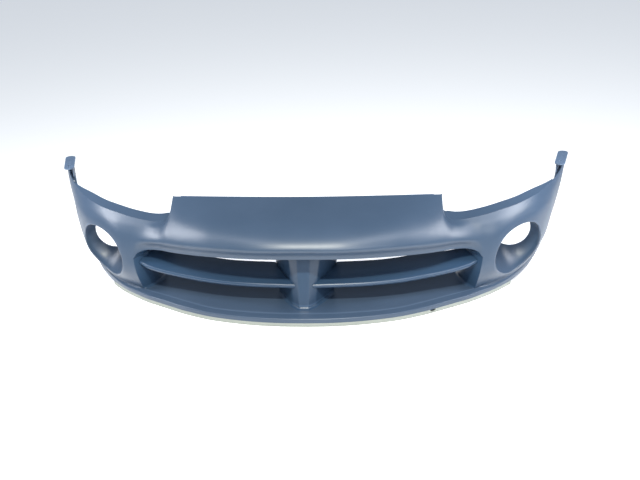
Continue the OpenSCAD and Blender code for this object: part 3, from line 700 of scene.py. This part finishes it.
def make_strip():
    """Angle strip: a level leg under the lip and a toe that hangs down at its front."""
    line = stations[(abs(stations) < STRIP_END - 2) & (abs(stations - NOTCH_T) > NOTCH_R + 2)]
    arc = NOTCH_T + NOTCH_R * np.sin(spaced(-NOTCH_SPAN, 24, NOTCH_SPAN))
    line = np.sort(np.concatenate([[-STRIP_END], line, arc, [STRIP_END]]))
    o, i = outer(line, ROW_FOOT), inner(line, ROW_FOOT)
    n = -level(normal(line, ROW_FOOT))
    down = np.array([0, 0, -1.0])
    corners = [o, i, i + STRIP_LEG * n, o + STRIP_LEG * n + STRIP_LEG_T * down,
               o + STRIP_T * n + STRIP_LEG_T * down, o + STRIP_T * n + STRIP_H * down,
               o + STRIP_TOE_IN * n + STRIP_H * down, o + STRIP_H * down * STRIP_TOE_UP]
    bite = np.sqrt(np.maximum(0, NOTCH_R**2 - (line - NOTCH_T) ** 2))[:, None]
    for k in (0, 1, 2):
        corners[k] = corners[k] + bite * down
    for k in (3, 4):
        corners[k] = corners[k] + np.maximum(0, bite - STRIP_LEG_T + NOTCH_WEB) * down
    loft("lip_strip_rubber", np.stack(corners, axis=1), STRIP_RUBBER,
         smooth_angle=50, node="lip_strip", slot="pale_rubber")


# ---- Build ----
make_skin()
make_floor()
make_post()
make_strip()
for side, word in SIDES:
    make_ledge(side, word)
    make_wall(side, word)
    make_crossbar(side, word)
    make_tunnel(side, word)

# ---- CAD nodes that stay, with better materials ----
KEPT = {
    "fog_lamp_ring_left": BRACKET_PRIMER, "fog_lamp_ring_right": BRACKET_PRIMER,
    "fender_bracket_left": SKIN_PRIMER, "fender_bracket_right": SKIN_PRIMER,
    "arch_flange_left": SKIN_PRIMER, "arch_flange_right": SKIN_PRIMER,
    "hood_edge_flange": BRACKET_PRIMER, "center_stay": ZINC,
    "fog_clip_nuts": ZINC, "hood_clip_nuts": ZINC,
}
for name, material in KEPT.items():
    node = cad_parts[name]
    node.data.materials.clear()
    node.data.materials.append(material)
    round_edges(node, width=KEPT_EDGE_R)

# ---- Floor, lights and camera ----
scene = bpy.context.scene
scene.view_settings.view_transform = "Standard"

FLOOR_HALF = 30         # metres
floor_mesh = bpy.data.meshes.new("floor")
floor_mesh.from_pydata([(x * FLOOR_HALF, y * FLOOR_HALF, 0)
                        for x, y in ((-1, -1), (1, -1), (1, 1), (-1, 1))], [], [(0, 1, 2, 3)])
floor = bpy.data.objects.new("floor", floor_mesh)
scene.collection.objects.link(floor)
floor_material = bpy.data.materials.new("floor_white")
floor_material.use_nodes = True
floor_shader = floor_material.node_tree.nodes["Principled BSDF"]
floor_shader.inputs["Base Color"].default_value = (0.93, 0.93, 0.93, 1)
floor_shader.inputs["Roughness"].default_value = 0.9
floor_shader.inputs["Specular IOR Level"].default_value = 0.1
floor_shader.inputs["Emission Color"].default_value = (1, 1, 1, 1)
floor_shader.inputs["Emission Strength"].default_value = 0.42
floor_mesh.materials.append(floor_material)

world = bpy.data.worlds.new("studio")
scene.world = world
world.use_nodes = True
world_nodes, world_links = world.node_tree.nodes, world.node_tree.links
background = world_nodes["Background"]
background.inputs["Strength"].default_value = 1.0
# white where it is seen, dim blue-grey where it only lights the part
seen = world_nodes.new("ShaderNodeLightPath")
studio = world_nodes.new("ShaderNodeMix")
studio.data_type = "RGBA"
studio.inputs["A"].default_value = (0.19, 0.235, 0.3, 1)
studio.inputs["B"].default_value = (1, 1, 1, 1)
world_links.new(seen.outputs["Is Camera Ray"], studio.inputs["Factor"])
world_links.new(studio.outputs["Result"], background.inputs["Color"])


def softbox(name, place, aim, width, height, power, colour):
    """Rectangular light that the camera doesn't see, in metres and watts."""
    light = bpy.data.lights.new(name, "AREA")
    light.shape = "RECTANGLE"
    light.size, light.size_y = width, height
    light.energy = power
    light.color = colour
    lamp = bpy.data.objects.new(name, light)
    lamp.location = place
    lamp.rotation_euler = (Vector(aim) - Vector(place)).to_track_quat("-Z", "Y").to_euler()
    lamp.visible_camera = False
    scene.collection.objects.link(lamp)


softbox("front_strip", (0, -1.95, 2.65), (0, -0.28, 0.26), 1.1, 0.16, 95, (1, 0.98, 0.86))
softbox("front_fill", (1.1, -3.4, 2.4), (0.1, -0.2, 0.15), 2.4, 1.0, 46, (0.93, 0.96, 1))
softbox("left_side", (-1.2, -0.13, 0.82), (-0.7, -0.01, 0.28), 0.3, 0.5, 8, (0.95, 0.96, 1))
softbox("right_side", (1.22, -0.13, 0.8), (0.72, -0.01, 0.29), 0.3, 0.5, 8, (0.96, 0.97, 1))
softbox("left_top", (-1.4, -0.95, 2.9), (-0.6, -0.05, 0.26), 1.4, 0.7, 14, (0.9, 0.92, 1))
softbox("right_top", (1.5, -0.95, 2.9), (0.6, -0.05, 0.26), 1.6, 0.8, 30, (0.9, 0.92, 1))

# Camera: place in metres from the front foot, angles in radians, lens in millimetres
CAMERA_AT = (0.29415, -2.86416, 1.57148)
YAW, PITCH, ROLL = -0.0791, 0.4172, -0.0368
LENS, SENSOR, FAR_CLIP = 56.25, 36.0, 100
forward = Vector((math.sin(YAW) * math.cos(PITCH), math.cos(YAW) * math.cos(PITCH),
                  -math.sin(PITCH)))
flat_right = forward.cross(Vector((0, 0, 1))).normalized()
flat_up = flat_right.cross(forward)
right = math.cos(ROLL) * flat_right + math.sin(ROLL) * flat_up
up = -math.sin(ROLL) * flat_right + math.cos(ROLL) * flat_up
camera_data = bpy.data.cameras.new("camera")
camera_data.lens = LENS
camera_data.sensor_width = SENSOR
camera_data.clip_end = FAR_CLIP
camera = bpy.data.objects.new("camera", camera_data)
turn = Matrix((right, up, -forward)).transposed().to_4x4()
place = Vector(CAMERA_AT) + Vector(ORIGIN)
camera.matrix_world = Matrix.Translation(place) @ turn
scene.collection.objects.link(camera)
scene.camera = camera
